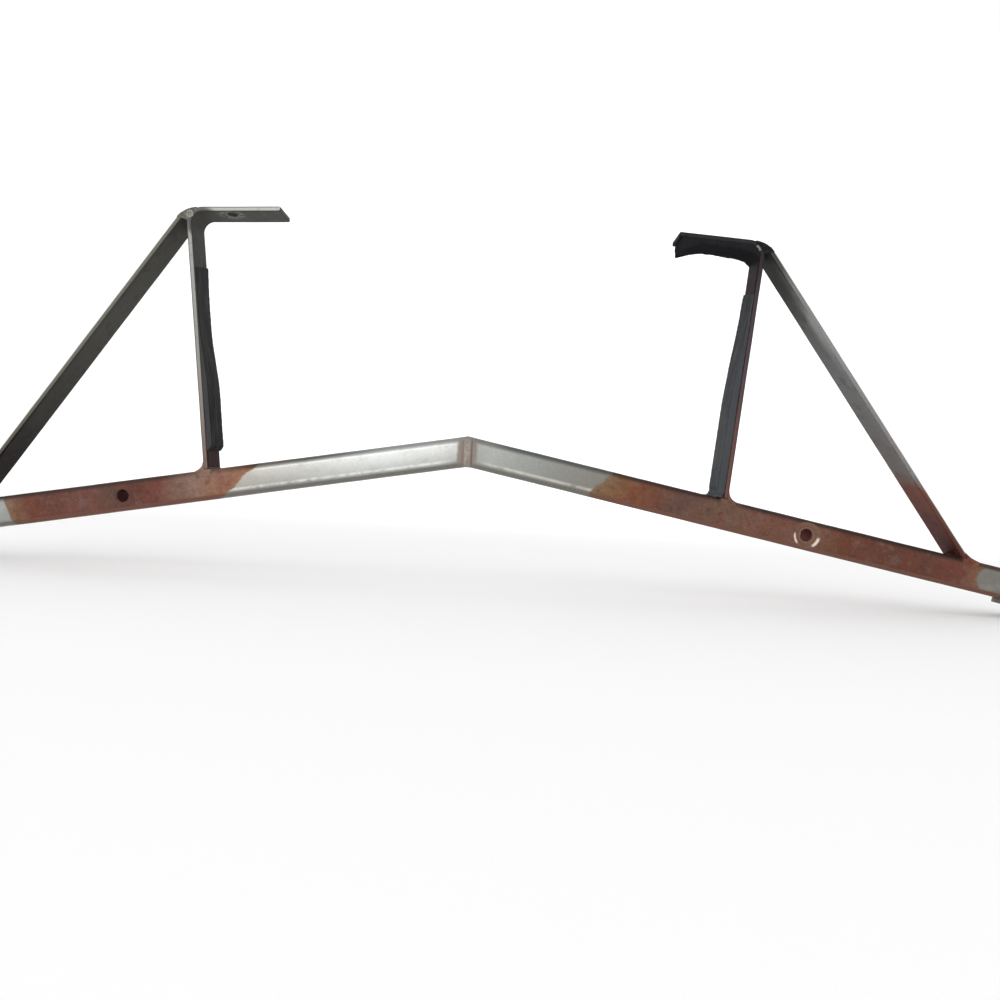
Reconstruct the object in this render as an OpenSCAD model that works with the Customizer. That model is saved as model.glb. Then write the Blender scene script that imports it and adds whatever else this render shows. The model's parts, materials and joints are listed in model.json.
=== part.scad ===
// Front grille guard: two halves of square tube welded into a shallow peak, with a bent
// flat-bar upright, a diagonal brace and rubber pads on each side.
// +X is right seen from the front, +Y points back towards the grille, +Z is up.
// The origin lies midway between the two frame bolts, in the middle of the tube's depth.

/* [Crossbar] */
// Outside width of the square tube
tube_w = 38.1; // [30:0.1:45]
// Wall thickness of the tube
tube_wall = 3; // [2:0.1:4]
// Outside corner radius of the tube
tube_r = 8.5; // [6:0.1:10]
// Angle that each half falls away from the middle, in degrees
droop = 10.6; // [8:0.1:12]
// Length of each half along its centreline
half_len = 745; // [730:1:770]
// Thickness of the plate that closes each tube end
end_plate_t = 3; // [2:0.1:5]

/* [Frame bolts] */
// Distance between the two frame bolts
bolt_span = 863.6; // [800:0.1:900]
// Diameter of the bolt holes
bolt_d = 15.9; // [12:0.1:18]
// Radius of the dents that the bolt heads pressed into the front wall
dent_r = 18; // [14:0.1:20]
// Depth of the dent on the left half
left_dent = 0.4; // [0.2:0.1:1]
// Depth of the dent on the right half
right_dent = 1.6; // [0.2:0.1:2]

/* [Uprights and arms] */
// Thickness of the flat bar
bar_t = 6.35; // [5:0.05:8]
// Distance of each upright's outer face from the middle, at the tube
foot_x = 330.5; // [320:0.5:345]
// Distance of each top corner from the middle
corner_x = 361.5; // [350:0.5:375]
// Height of the top corners above the frame bolts
corner_z = 362.5; // [330:0.5:400]
// How far both top corners are set over to the left, as welded
skew_x = 5; // [0:0.5:8]
// How much higher the left corner is than the middle of the two, as welded
skew_z = 1.6; // [0:0.1:3]
// Distance of each arm's free end from the middle
arm_end_x = 248; // [230:0.5:280]
// Angle at which the arms rise inwards, in degrees
arm_rise = 3.2; // [1:0.1:5]
// Inside radius of the bend
bend_r = 14; // [8:0.5:20]
// Diameter of the hole in the left arm
arm_hole_d = 12.7; // [8:0.1:16]
// Distance of that hole from the middle
arm_hole_x = 312; // [290:0.5:330]
// Distance of that hole's centre behind the arm's front edge
arm_hole_back = 11; // [9:0.5:19]

/* [Braces] */
// Distance of each brace's outer foot corner from the middle
brace_foot_x = 638; // [610:0.5:650]
// How far the brace's outer face passes outside the top corner
brace_out = 1.5; // [1:0.5:5]
// Length of brace that the corner weld takes the place of
brace_cut = 9; // [8.5:0.5:12]

/* [Pads] */
// Distance from the top corner down to the left upright's pad
left_pad_top = 68; // [60:1:90]
// Distance from the top corner down to that pad's lower end
left_pad_end = 303; // [250:1:306]
// Thickness of that pad where it is thin and where it is thick
left_pad_t = [0.8, 6.5]; // [0.5:0.1:11]
// Distances below the corner between which it thickens
left_pad_ramp = [145, 232]; // [60:1:300]
// Distance from the top corner down to the right upright's pad
right_pad_top = 66; // [60:1:90]
// Thickness of that pad where it is thin and where it is thick
right_pad_t = [1.8, 9.3]; // [0.5:0.1:11]
// Distances below the corner between which it thickens
right_pad_ramp = [50, 215]; // [30:1:300]
// Clearance between the right upright's pad and the tube
right_pad_gap = 5; // [5:0.5:15]
// Thickness of the right arm's pad along its middle
arm_pad_t = 5.4; // [3:0.1:8]
// Thickness of the lip at its free end
arm_pad_lip = 14.6; // [6:0.1:16]
// Distance from the arm's free end to the pad
arm_pad_inset = 3.5; // [0:0.1:8]

/* [Mounting tabs] */
// Distance along the tube from the middle to the tab's inner end
tab_start = 703; // [690:1:710]
// Length of each tab
tab_len = 95; // [90:1:110]
// Diameter of the tab's hole
tab_hole_d = 14.3; // [10:0.1:16]

/* [Welds] */
// Radius of the hollow fillet outside each upright's foot
foot_fillet = 13; // [6:0.5:16]
// Radius of the hollow fillet inside each upright's foot
inner_fillet = 4; // [3:0.5:6]
// Radius of the hollow fillet outside each brace's foot
brace_fillet = 38; // [10:0.5:40]
// Radius of the hollow fillet inside each brace's foot
brace_inner_fillet = 2; // [1.5:0.5:4]
// Radius of the hollow fillets on the tabs
tab_fillet = 5; // [3:0.5:6]
// Radius of the outline over the corner weld
corner_round = 34; // [25:0.5:38]
// Width of the bead over the mitre
bead_w = 7; // [5:0.5:9]
// Height of that bead above the tube
bead_h = 0.8; // [0.5:0.1:2]

/* [Hidden] */
$fn = 96;
// How far the stretches of one solid run into each other
LAP = 0.3;
// How far a circle crosses the line that it would only touch
CROSSING = 0.05;
// More than the whole part measures, for cutting halves away
FAR = 1000;

LEFT = -1;
RIGHT = 1;
bar_w = tube_w;
bolt_x = bolt_span / 2;
apex_z = bolt_x * tan(droop);
bend_out = bend_r + bar_t;

// Unit vectors in the X-Z plane: out along the falling tube, and square to it
along = [cos(droop), -sin(droop)];
square_up = [sin(droop), cos(droop)];
arm_dir = [-cos(arm_rise), sin(arm_rise)];
arm_down = [-sin(arm_rise), -cos(arm_rise)];

function unit(v) = v / norm(v);
// A point at s along the tube from the middle and t above its centreline
function on_tube(s, t) = [0, apex_z] + along * s + square_up * t;
// The point of the tube's top surface at a distance x from the middle
function tube_top_at(x) = [x, apex_z + tube_w / 2 / cos(droop) - x * tan(droop)];

// All the following are worked out on the right-hand side of the middle, for one of the sides
function corner(side) = [corner_x - side * skew_x, corner_z - side * skew_z];
function foot() = tube_top_at(foot_x);
function post_dir(side) = unit(corner(side) - foot());
function post_in(side) = [-post_dir(side)[1], post_dir(side)[0]];
function turn(side) = acos(post_dir(side) * arm_dir);
function bend_tangent(side) = bend_out * tan(turn(side) / 2);
function bend_centre(side) =
    corner(side) - post_dir(side) * bend_tangent(side) + post_in(side) * bend_out;
function arm_len(side) = (corner(side)[0] - arm_end_x) / cos(arm_rise);
function brace_top(side) = corner(side) + [brace_out, -brace_out * tan(arm_rise)];
function brace_foot() = tube_top_at(brace_foot_x);
function brace_dir(side) = unit(brace_foot() - brace_top(side));
function brace_in(side) = [brace_dir(side)[1], -brace_dir(side)[0]];

// Puts what is drawn for the right on its own side
module on_side(side) {
    if (side < 0) mirror([1, 0, 0]) children();
    else children();
}

// Gives an outline in the X-Z plane a depth along Y
module plate(depth = bar_w) {
    rotate([90, 0, 0]) linear_extrude(height = depth, center = true) children();
}

// A straight strip from point p along direction d, reaching t to the side of direction n
module strip(p, d, n, len, t) {
    polygon([p, p + d * len, p + d * len + n * t, p + n * t]);
}

// A hollow fillet between two faces that leave point p along unit vectors u and v
module fillet(p, u, v, r) {
    half = acos(u * v) / 2;
    reach = r / tan(half);
    centre = p + unit(u + v) * r / sin(half);
    difference() {
        polygon([p, p + u * reach, centre, p + v * reach]);
        translate(centre) circle(r);
    }
}

module rounded_square(w, r) {
    square([w, w - 2 * r], center = true);
    square([w - 2 * r, w], center = true);
    for (x = [-1, 1], y = [-1, 1]) translate([x, y] * (w / 2 - r)) circle(r);
}

// A solid bar of the tube's section along the falling centreline, from s0 to s1
module tube_solid(w, r, s0, s1) {
    translate([0, 0, apex_z]) rotate([0, 90 + droop, 0])
        translate([0, 0, s0]) linear_extrude(height = s1 - s0) rounded_square(w, r);
}

// Everything under the plane of the tube's top surface
module below_tube_top() {
    translate([0, apex_z]) rotate(-droop) translate([-FAR / 2, tube_w / 2 - FAR]) square([2 * FAR, FAR]);
}

// A ball whose cap, depth deep and dent_r in radius, stands behind the front wall's outer face
module dent_ball(depth, grow) {
    ball_r = (dent_r * dent_r + depth * depth) / (2 * depth);
    translate([bolt_x, -tube_w / 2 + depth - ball_r, 0]) sphere(ball_r + grow, $fn = 200);
}

module crossbar(side, dent) {
    on_side(side) difference() {
        union() {
            difference() {
                tube_solid(tube_w, tube_r, -tube_w, half_len);
                tube_solid(tube_w - 2 * tube_wall, tube_r - tube_wall, -2 * tube_w, half_len + 1);
            }
            intersection() {
                dent_ball(dent, tube_wall);
                translate([bolt_x, -tube_w / 2 + tube_wall + dent_r / 2 - LAP, 0])
                    cube([3 * dent_r, dent_r, tube_w - 4 * tube_wall], center = true);
            }
        }
        translate([-FAR, -FAR / 2, -FAR / 2]) cube([FAR, FAR, FAR]);
        dent_ball(dent, 0);
        translate([bolt_x, 0, 0]) rotate([90, 0, 0]) cylinder(h = 2 * tube_w, d = bolt_d, center = true);
    }
}

module post_outline(side) {
    start = corner(side) - post_dir(side) * bend_tangent(side);
    difference() {
        strip(start, -post_dir(side), post_in(side), corner_z, bar_t);
        below_tube_top();
    }
}

module arm_outline(side) {
    start = corner(side) + arm_dir * bend_tangent(side);
    strip(start, arm_dir, arm_down, arm_len(side) - bend_tangent(side), bar_t);
}

// The bend runs a little way into both straight stretches
module bend_outline(side) {
    centre = bend_centre(side);
    post_side = centre - post_dir(side) * LAP;
    arm_side = centre + arm_dir * LAP;
    intersection() {
        difference() {
            translate(centre) circle(bend_out);
            translate(centre) circle(bend_r);
        }
        polygon([post_side, post_side - post_in(side) * bend_out, corner(side) * 2 - centre,
                 arm_side - arm_down * bend_out, arm_side]);
    }
}

module upright_outline(side) {
    post_outline(side);
    arm_outline(side);
    bend_outline(side);
}

module upright(side) {
    on_side(side) {
        plate() post_outline(side);
        plate() arm_outline(side);
        plate() bend_outline(side);
    }
}

module arm_hole(side) {
    hole = corner(side) + arm_dir * ((corner(side)[0] - arm_hole_x) / cos(arm_rise)) + arm_down * bar_t / 2;
    on_side(side) translate([hole[0], arm_hole_back - bar_w / 2, hole[1]]) rotate([0, arm_rise, 0])
        cylinder(h = 3 * bar_t, d = arm_hole_d, center = true);
}

// The tip beyond the brace's top end that is dressed away, leaving one round outline
module dressed_off(side) {
    top = brace_top(side);
    run = brace_dir(side);
    reach = corner_round * tan(acos(-arm_dir * run) / 2);
    arm_side = top + arm_dir * reach;
    brace_side = top + run * reach;
    difference() {
        polygon([arm_side, brace_side, brace_side - brace_in(side) * bar_t, top * 2 - bend_centre(side),
                 arm_side - arm_down * bar_t]);
        translate(arm_side + arm_down * (corner_round - CROSSING)) circle(corner_round, $fn = 180);
    }
}

module brace_outline(side) {
    difference() {
        strip(brace_top(side) + brace_dir(side) * brace_cut, brace_dir(side), brace_in(side), FAR, bar_t);
        below_tube_top();
        dressed_off(side);
    }
}

module brace(side) {
    on_side(side) plate() brace_outline(side);
}

// Weld metal between the bend and the brace, under the dressed outline
module corner_weld(side) {
    cut = brace_top(side) + brace_dir(side) * brace_cut;
    arm_start = corner(side) + arm_dir * bend_tangent(side);
    post_start = corner(side) - post_dir(side) * bend_tangent(side);
    on_side(side) plate() difference() {
        polygon([arm_start, brace_top(side), cut, cut + brace_in(side) * bar_t,
                 corner(side) - post_dir(side) * brace_cut * 1.5, bend_centre(side)]);
        translate(bend_centre(side)) circle(bend_out);
        strip(arm_start, arm_dir, arm_down, bend_out, bend_out);
        strip(post_start, -post_dir(side), post_in(side), FAR, bend_out);
        dressed_off(side);
    }
}

// A weld at the foot of a bar, whose outline is the child: a fillet outside, one inside, and
// metal over the tube's rounded shoulders, where the bar's square end stands clear of them
module foot_weld(side, at, up, across, outer_r, inner_r) {
    on_side(side) difference() {
        plate() difference() {
            union() {
                fillet(at, up, along, outer_r);
                fillet(at + across, up, -along, inner_r);
                strip(at + across - along * inner_r / 2 + square_up * LAP, along, -square_up,
                      norm(across) + (outer_r + inner_r) / 2, tube_r);
            }
            children();
        }
        tube_solid(tube_w, tube_r, 0, half_len);
    }
}

module upright_foot_weld(side) {
    across = along * (-bar_t / (post_dir(side) * square_up));
    foot_weld(side, foot(), post_dir(side), across, foot_fillet, inner_fillet) upright_outline(side);
}

module brace_foot_weld(side) {
    across = along * (bar_t / (brace_dir(side) * square_up));
    foot_weld(side, brace_foot(), -brace_dir(side), across, brace_fillet, brace_inner_fillet)
        brace_outline(side);
}

// A raised bead all round the mitre
module apex_weld_bead() {
    color("#7d776c") for (side = [LEFT, RIGHT]) on_side(side) difference() {
        tube_solid(tube_w + 2 * bead_h, tube_r + bead_h, -tube_w, tube_w);
        tube_solid(tube_w, tube_r, -2 * tube_w, 2 * tube_w);
        translate([-FAR, -FAR / 2, -FAR / 2]) cube([FAR, FAR, FAR]);
        translate([bead_w / 2, -FAR / 2, -FAR / 2]) cube([FAR, FAR, FAR]);
    }
}

// A smooth step from 0 to 1 as x goes from a to b
function ease(x, a, b) = let (k = min(max((x - a) / (b - a), 0), 1)) k * k * (3 - 2 * k);

// A rubber pad on an upright's inner face, thin above and thicker below
module upright_pad(side, top, end, t, ramp) {
    face = corner(side) + post_in(side) * bar_t;
    steps = 16;
    profile = [for (i = [0:steps]) let (s = top + (end - top) * i / steps,
                                        thick = t[0] + (t[1] - t[0]) * ease(s, ramp[0], ramp[1]))
               face - post_dir(side) * s + post_in(side) * thick];
    on_side(side) plate() difference() {
        polygon(concat([face - post_dir(side) * top], profile, [face - post_dir(side) * end]));
        children();
    }
}

module left_pad_toe() {
    toe = 4.5;
    face = corner(LEFT) + post_in(LEFT) * (bar_t + left_pad_t[1]) - post_dir(LEFT) * left_pad_end;
    polygon([face + post_dir(LEFT) * toe, face - post_in(LEFT) * toe,
             face + (post_in(LEFT) - post_dir(LEFT)) * toe]);
}

// The pad under the right arm: a lip at the free end, then a strip that runs on into the bend
module right_arm_pad() {
    free_end = corner(RIGHT) + arm_dir * arm_len(RIGHT) + arm_down * bar_t;
    straight = arm_len(RIGHT) - bend_tangent(RIGHT);
    post_face = arm_len(RIGHT) - bar_t;
    centre = bend_centre(RIGHT);
    middle = bend_r + bar_t / 2;
    run_on = 3;
    lower = [[arm_pad_inset, -bar_t / 2], [arm_pad_inset + 1, arm_pad_lip - 1],
             [arm_pad_inset + 3.5, arm_pad_lip], [16, arm_pad_t * 2], [24, arm_pad_t * 1.5],
             [31, arm_pad_t * 1.15], [39, arm_pad_t], [53, arm_pad_t], [69, arm_pad_t * 1.25],
             [straight, arm_pad_t * 1.5], [straight + 6, arm_pad_t * 1.7],
             [post_face, bend_r + 1.5]];
    within_bend = [for (i = [0:12]) let (a = arm_rise + turn(RIGHT) * i / 12)
                   centre + middle * [sin(turn(RIGHT) - a), cos(turn(RIGHT) - a)]];
    color("#1c1c1e") plate() difference() {
        polygon(concat([for (q = lower) free_end - arm_dir * q[0] + arm_down * q[1]],
                       [centre - post_in(RIGHT) * middle - post_dir(RIGHT) * run_on], within_bend));
        upright_outline(RIGHT);
    }
}

// A flat tab under the tube's end, with rounded ends and a bolt hole in the free one
module mounting_tab(side) {
    start = on_tube(tab_start + bar_w / 2, -tube_w / 2 - bar_t);
    between = tab_len - bar_w;
    on_side(side) translate([start[0], 0, start[1]]) rotate([0, droop, 0]) difference() {
        union() {
            translate([0, -bar_w / 2, 0]) cube([between, bar_w, bar_t]);
            cylinder(h = bar_t, d = bar_w);
            translate([between, 0, 0]) cylinder(h = bar_t, d = bar_w);
        }
        translate([between, 0, 0]) cylinder(h = 3 * bar_t, d = tab_hole_d, center = true);
    }
}

// One fillet at the tube's closed end, and metal in the groove behind, under the tube's
// rounded lower shoulder
module tab_weld(side) {
    groove = [half_len - tab_start - bar_w / 2, tube_r, tube_r * 0.8];
    start = on_tube(tab_start + bar_w / 2, -tube_w / 2);
    end = on_tube(half_len + end_plate_t, -tube_w / 2);
    on_side(side) {
        plate(bar_w - 2 * tube_r) fillet(end, square_up, along, tab_fillet);
        difference() {
            translate([start[0], tube_w / 2 - tube_r, start[1]]) rotate([0, droop, 0]) cube(groove);
            tube_solid(tube_w, tube_r, 0, half_len + 1);
        }
    }
}

module end_plate(side) {
    on_side(side) tube_solid(tube_w, tube_r, half_len, half_len + end_plate_t);
}

module crossbar_left() { color("#8a6a5c") crossbar(LEFT, left_dent); }
module crossbar_right() { color("#85604f") crossbar(RIGHT, right_dent); }
module left_upright() {
    color("#8d8d88") difference() {
        upright(LEFT);
        arm_hole(LEFT);
    }
}
module right_upright() { color("#4a4245") upright(RIGHT); }
module left_brace() { color("#5a5a54") brace(LEFT); }
module right_brace() { color("#6a6c6a") brace(RIGHT); }
module left_corner_weld() { color("#77756c") corner_weld(LEFT); }
module right_corner_weld() { color("#4c4a4a") corner_weld(RIGHT); }
module left_upright_foot_weld() { color("#7a6a5e") upright_foot_weld(LEFT); }
module right_upright_foot_weld() { color("#6f5648") upright_foot_weld(RIGHT); }
module left_brace_foot_weld() { color("#5e4a40") brace_foot_weld(LEFT); }
module right_brace_foot_weld() { color("#5e4a40") brace_foot_weld(RIGHT); }
module left_upright_pad() {
    color("#323436") upright_pad(LEFT, left_pad_top, left_pad_end, left_pad_t, left_pad_ramp) left_pad_toe();
}
module right_upright_pad() {
    color("#464b4f") upright_pad(RIGHT, right_pad_top, corner_z, right_pad_t, right_pad_ramp)
        translate(square_up * right_pad_gap) below_tube_top();
}
module left_mounting_tab() { color("#a5a7a4") mounting_tab(LEFT); }
module right_mounting_tab() { color("#a5a7a4") mounting_tab(RIGHT); }
module left_tab_weld() { color("#77756c") tab_weld(LEFT); }
module right_tab_weld() { color("#77756c") tab_weld(RIGHT); }
module left_end_plate() { color("#8b8d8a") end_plate(LEFT); }
module right_end_plate() { color("#8b8d8a") end_plate(RIGHT); }

crossbar_left();
crossbar_right();
apex_weld_bead();
left_upright();
right_upright();
left_brace();
right_brace();
left_corner_weld();
right_corner_weld();
left_upright_foot_weld();
right_upright_foot_weld();
left_brace_foot_weld();
right_brace_foot_weld();
left_upright_pad();
right_upright_pad();
right_arm_pad();
left_mounting_tab();
right_mounting_tab();
left_tab_weld();
right_tab_weld();
left_end_plate();
right_end_plate();
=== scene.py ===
"""Looks of the front grille guard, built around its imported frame. Metres; +X right, +Y back, +Z up."""
import json
from math import acos, asin, ceil, copysign, cos, hypot, pi, radians, sin, sqrt, tan
import bmesh
import bpy
from mathutils import Matrix, Vector, noise


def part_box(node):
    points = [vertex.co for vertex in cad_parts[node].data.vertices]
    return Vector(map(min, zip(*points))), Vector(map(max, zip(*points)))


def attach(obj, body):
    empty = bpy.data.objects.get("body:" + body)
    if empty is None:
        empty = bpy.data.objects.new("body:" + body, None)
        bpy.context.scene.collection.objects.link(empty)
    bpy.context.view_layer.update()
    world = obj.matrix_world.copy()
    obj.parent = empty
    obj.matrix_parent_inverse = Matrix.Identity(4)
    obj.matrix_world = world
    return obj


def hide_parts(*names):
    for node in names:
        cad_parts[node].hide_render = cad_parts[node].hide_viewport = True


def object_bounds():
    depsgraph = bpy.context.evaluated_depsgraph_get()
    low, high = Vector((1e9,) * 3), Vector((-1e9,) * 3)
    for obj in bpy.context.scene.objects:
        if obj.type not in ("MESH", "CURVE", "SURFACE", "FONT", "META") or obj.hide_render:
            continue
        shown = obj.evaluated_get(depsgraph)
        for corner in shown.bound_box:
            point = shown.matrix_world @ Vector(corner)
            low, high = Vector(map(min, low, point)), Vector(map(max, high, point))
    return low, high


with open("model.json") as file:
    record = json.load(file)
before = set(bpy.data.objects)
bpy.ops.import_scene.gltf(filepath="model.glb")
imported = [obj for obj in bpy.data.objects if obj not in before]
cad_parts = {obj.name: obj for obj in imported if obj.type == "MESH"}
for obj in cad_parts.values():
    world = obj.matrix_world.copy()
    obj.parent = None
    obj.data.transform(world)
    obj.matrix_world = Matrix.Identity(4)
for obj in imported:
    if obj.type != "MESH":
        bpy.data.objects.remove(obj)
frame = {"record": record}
cad_box = [list(corner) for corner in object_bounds()]

# ------------ sizes

MM = 0.001
LEFT, RIGHT = -1, 1
SIDE_NAMES = {LEFT: "left", RIGHT: "right"}
mounts = {mount["name"]: mount for mount in frame["record"]["mounts"]}
ARM_HOLE = mounts["left_arm_hole"]

DROOP = asin(abs(mounts["right_tab_hole"]["axis"][0]))
BOLT_X = mounts["frame_bolts"]["dims"]["spacing_x_mm"] * MM / 2
BOLT_R = mounts["frame_bolts"]["dims"]["hole_r_mm"] * MM
APEX_Z = BOLT_X * tan(DROOP)
TUBE_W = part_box("left_brace")[1].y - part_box("left_brace")[0].y
TUBE_WALL = 3 * MM
TUBE_R = 8.5 * MM
TUBE_LEN = 745 * MM
END_PLATE_T = 3 * MM
BAR_T = ARM_HOLE["dims"]["length_mm"] * MM
BAR_EDGE = 1.9 * MM
FOOT_X = 330.5 * MM
CORNER_X = 361.5 * MM
CORNER_Z = 362.5 * MM
SKEW_X = 5 * MM
SKEW_Z = 1.6 * MM
ARM_END_X = 248 * MM
ARM_RISE = radians(3.2)
BEND_R = 14 * MM
BRACE_FOOT_X = 638 * MM
BRACE_OUT = 1.5 * MM
BRACE_CUT = 9 * MM
DENT_R = 18 * MM
DENTS = {LEFT: 0.4 * MM, RIGHT: 1.6 * MM}
TAB_START = 703 * MM
TAB_LEN = 95 * MM
# The radius of each foot's weld outside and inside its bar
UPRIGHT_FILLETS = {LEFT: (13 * MM, 3.5 * MM), RIGHT: (13 * MM, 4 * MM)}
BRACE_FILLETS = (38 * MM, 2 * MM)
# The pads' top and end, measured down from the corner, their thickness above and below, where it
# changes, the length of their bevelled lower end, and the height of the rubber pressed out at the tube
PADS = {
    LEFT: dict(top=74 * MM, end=303 * MM, thickness=(0.8 * MM, 6.5 * MM), ramp=(145 * MM, 232 * MM),
               toe=4.5 * MM, flare=0),
    RIGHT: dict(top=66 * MM, end=316 * MM, thickness=(1.8 * MM, 9.3 * MM), ramp=(50 * MM, 215 * MM),
                toe=2 * MM, flare=11 * MM),
}

STUDIO_GAIN = 0.84
SHEEN = 0.08

ALONG = Vector((cos(DROOP), -sin(DROOP)))
SQUARE_UP = Vector((sin(DROOP), cos(DROOP)))
ARM_DIR = Vector((-cos(ARM_RISE), sin(ARM_RISE)))
ARM_DOWN = Vector((-sin(ARM_RISE), -cos(ARM_RISE)))

# Points in the X-Z plane, on the right-hand side of the middle, for one of the sides


def on_tube(s, t):
    return Vector((0, APEX_Z)) + ALONG * s + SQUARE_UP * t


def tube_top_at(x):
    return Vector((x, APEX_Z + TUBE_W / 2 / cos(DROOP) - x * tan(DROOP)))


def corner_of(side):
    return Vector((CORNER_X - side * SKEW_X, CORNER_Z - side * SKEW_Z))


def post_dir(side):
    return (corner_of(side) - tube_top_at(FOOT_X)).normalized()


def post_in(side):
    up = post_dir(side)
    return Vector((-up.y, up.x))


def bend_turn(side):
    return acos(post_dir(side).dot(ARM_DIR))


def bend_tangent(side):
    return (BEND_R + BAR_T) * tan(bend_turn(side) / 2)


def bend_centre(side):
    return corner_of(side) - post_dir(side) * bend_tangent(side) + post_in(side) * (BEND_R + BAR_T)


def bend_out(side, a):
    """Outwards from the bend's centre, at an angle a on from the post."""
    return post_dir(side) * sin(a) - post_in(side) * cos(a)


def bend_arc(side, radius, steps):
    turn = bend_turn(side)
    return [bend_centre(side) + bend_out(side, turn * i / steps) * radius for i in range(steps + 1)]


def arm_len(side):
    return (corner_of(side).x - ARM_END_X) / cos(ARM_RISE)


def brace_top(side):
    return corner_of(side) + Vector((BRACE_OUT, -BRACE_OUT * tan(ARM_RISE)))


def brace_dir(side):
    return (tube_top_at(BRACE_FOOT_X) - brace_top(side)).normalized()


def brace_in(side):
    down = brace_dir(side)
    return Vector((down.y, -down.x))


def arc(centre, spoke, angle, steps):
    """Points round a centre from the end of a spoke, clockwise for an angle over 0."""
    return [centre + Matrix.Rotation(-angle * i / steps, 2) @ spoke for i in range(steps + 1)]


def place(side, point, y):
    """A point of the right-hand X-Z plane, put on its own side at depth y."""
    return Vector((side * point.x, y, point.y))


def step(x, low, high):
    k = min(max((x - low) / (high - low), 0), 1)
    return k * k * (3 - 2 * k)


def wobble(point, scale, seed=0.0):
    """Smooth noise from -1 to 1; scale is the size of its lumps in metres."""
    return noise.noise(Vector(point) / scale + Vector((seed, seed * 0.37, -seed)))


# ------------ meshes


def add_mesh(name, verts, faces):
    mesh = bpy.data.meshes.new(name)
    mesh.from_pydata([tuple(v) for v in verts], [], faces)
    work = bmesh.new()
    work.from_mesh(mesh)
    bmesh.ops.recalc_face_normals(work, faces=work.faces)
    work.to_mesh(mesh)
    work.free()
    mesh.shade_smooth()
    piece = bpy.data.objects.new(name, mesh)
    bpy.context.scene.collection.objects.link(piece)
    return piece


def grid_faces(rings, ring_len, first=0):
    """Faces between rings of points that follow one another."""
    faces = []
    for r in range(rings - 1):
        for i in range(ring_len):
            a = first + r * ring_len + i
            b = first + r * ring_len + (i + 1) % ring_len
            faces.append((a, b, b + ring_len, a + ring_len))
    return faces


def loft(name, rings):
    """A closed body through rings of points, capped at both ends."""
    n = len(rings[0])
    verts = [p for ring in rings for p in ring]
    faces = grid_faces(len(rings), n)
    faces.append(tuple(range(n - 1, -1, -1)))
    faces.append(tuple(range(len(verts) - n, len(verts))))
    return add_mesh(name, verts, faces)


def apply_modifiers(piece):
    depsgraph = bpy.context.evaluated_depsgraph_get()
    made = bpy.data.meshes.new_from_object(piece.evaluated_get(depsgraph))
    piece.modifiers.clear()
    old = piece.data
    piece.data = made
    bpy.data.meshes.remove(old)


def cut_round(piece, centre, axis, profile):
    """Cuts a round hole. profile is (distance along the axis, radius) from one end to the other."""
    turn = Vector((0, 0, 1)).rotation_difference(Vector(axis)).to_matrix()
    count = 64
    rings = []
    for height, radius in profile:
        angles = [2 * pi * i / count for i in range(count)]
        ring = [Vector((radius * cos(a), radius * sin(a), height)) for a in angles]
        rings.append([Vector(centre) + turn @ point for point in ring])
    tool = loft("cutter", rings)
    cut = piece.modifiers.new("cut", "BOOLEAN")
    cut.operation = "DIFFERENCE"
    cut.solver = "EXACT"
    cut.object = tool
    apply_modifiers(piece)
    bpy.data.objects.remove(tool)
    for polygon in piece.data.polygons:
        polygon.use_smooth = True


def drill(piece, hole):
    """Cuts a mount's bolt hole through flat bar, a little wider at its worn edges."""
    r = hole["dims"]["r_mm"] * MM
    flare = 0.5 * MM
    half = BAR_T / 2
    cut_round(piece, hole["pos_m"], hole["axis"],
              [(-3 * half, r + flare), (-half, r + flare), (-half + flare, r), (half - flare, r),
               (half, r + flare), (3 * half, r + flare)])


def move_points(piece, offset):
    """Moves every point by offset(point, normal)."""
    mesh = piece.data
    moves = [offset(v.co.copy(), v.normal.copy()) for v in mesh.vertices]
    for vertex, move in zip(mesh.vertices, moves):
        vertex.co += move
    mesh.update()


def prism(side, outline, y_low, y_high):
    """(points, faces) of an outline in the X-Z plane given a depth."""
    n = len(outline)
    verts = [place(side, p, y_low) for p in outline] + [place(side, p, y_high) for p in outline]
    return verts, grid_faces(2, n) + [tuple(range(n - 1, -1, -1)), tuple(range(n, 2 * n))]


def lump(name, solids, voxel, softness):
    """One soft body round several overlapping solids, each (points, faces)."""
    verts, faces = [], []
    for points, sides in solids:
        faces += [tuple(i + len(verts) for i in face) for face in sides]
        verts += points
    piece = add_mesh(name, verts, faces)
    remesh = piece.modifiers.new("remesh", "REMESH")
    remesh.mode = "VOXEL"
    remesh.voxel_size = voxel
    if softness:
        smooth = piece.modifiers.new("smooth", "SMOOTH")
        smooth.factor = 0.5
        smooth.iterations = softness
    apply_modifiers(piece)
    piece.data.shade_smooth()
    return piece


def rounded_rectangle(width, height, radius, width_cuts, height_cuts, corner=5):
    """Points (a, b) round a rectangle with its middle at the origin, with corner steps in each corner."""
    points = []
    half = (width / 2 - radius, height / 2 - radius)
    for quarter in range(4):
        cx = half[0] * (1, -1, -1, 1)[quarter]
        cy = half[1] * (1, 1, -1, -1)[quarter]
        for i in range(corner + 1):
            a = pi / 2 * (quarter + i / corner)
            points.append((cx + radius * cos(a), cy + radius * sin(a)))
        cuts = (width_cuts, height_cuts)[quarter % 2]
        run = (2 * half[0], 2 * half[1])[quarter % 2]
        heading = ((-1, 0), (0, -1), (1, 0), (0, 1))[quarter]
        last = points[-1]
        for i in range(1, cuts):
            points.append((last[0] + heading[0] * run * i / cuts, last[1] + heading[1] * run * i / cuts))
    return points


def spread(low, high, pitch):
    count = max(1, ceil((high - low) / pitch))
    return [low + (high - low) * i / count for i in range(count + 1)]


# ------------ the tube


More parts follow.
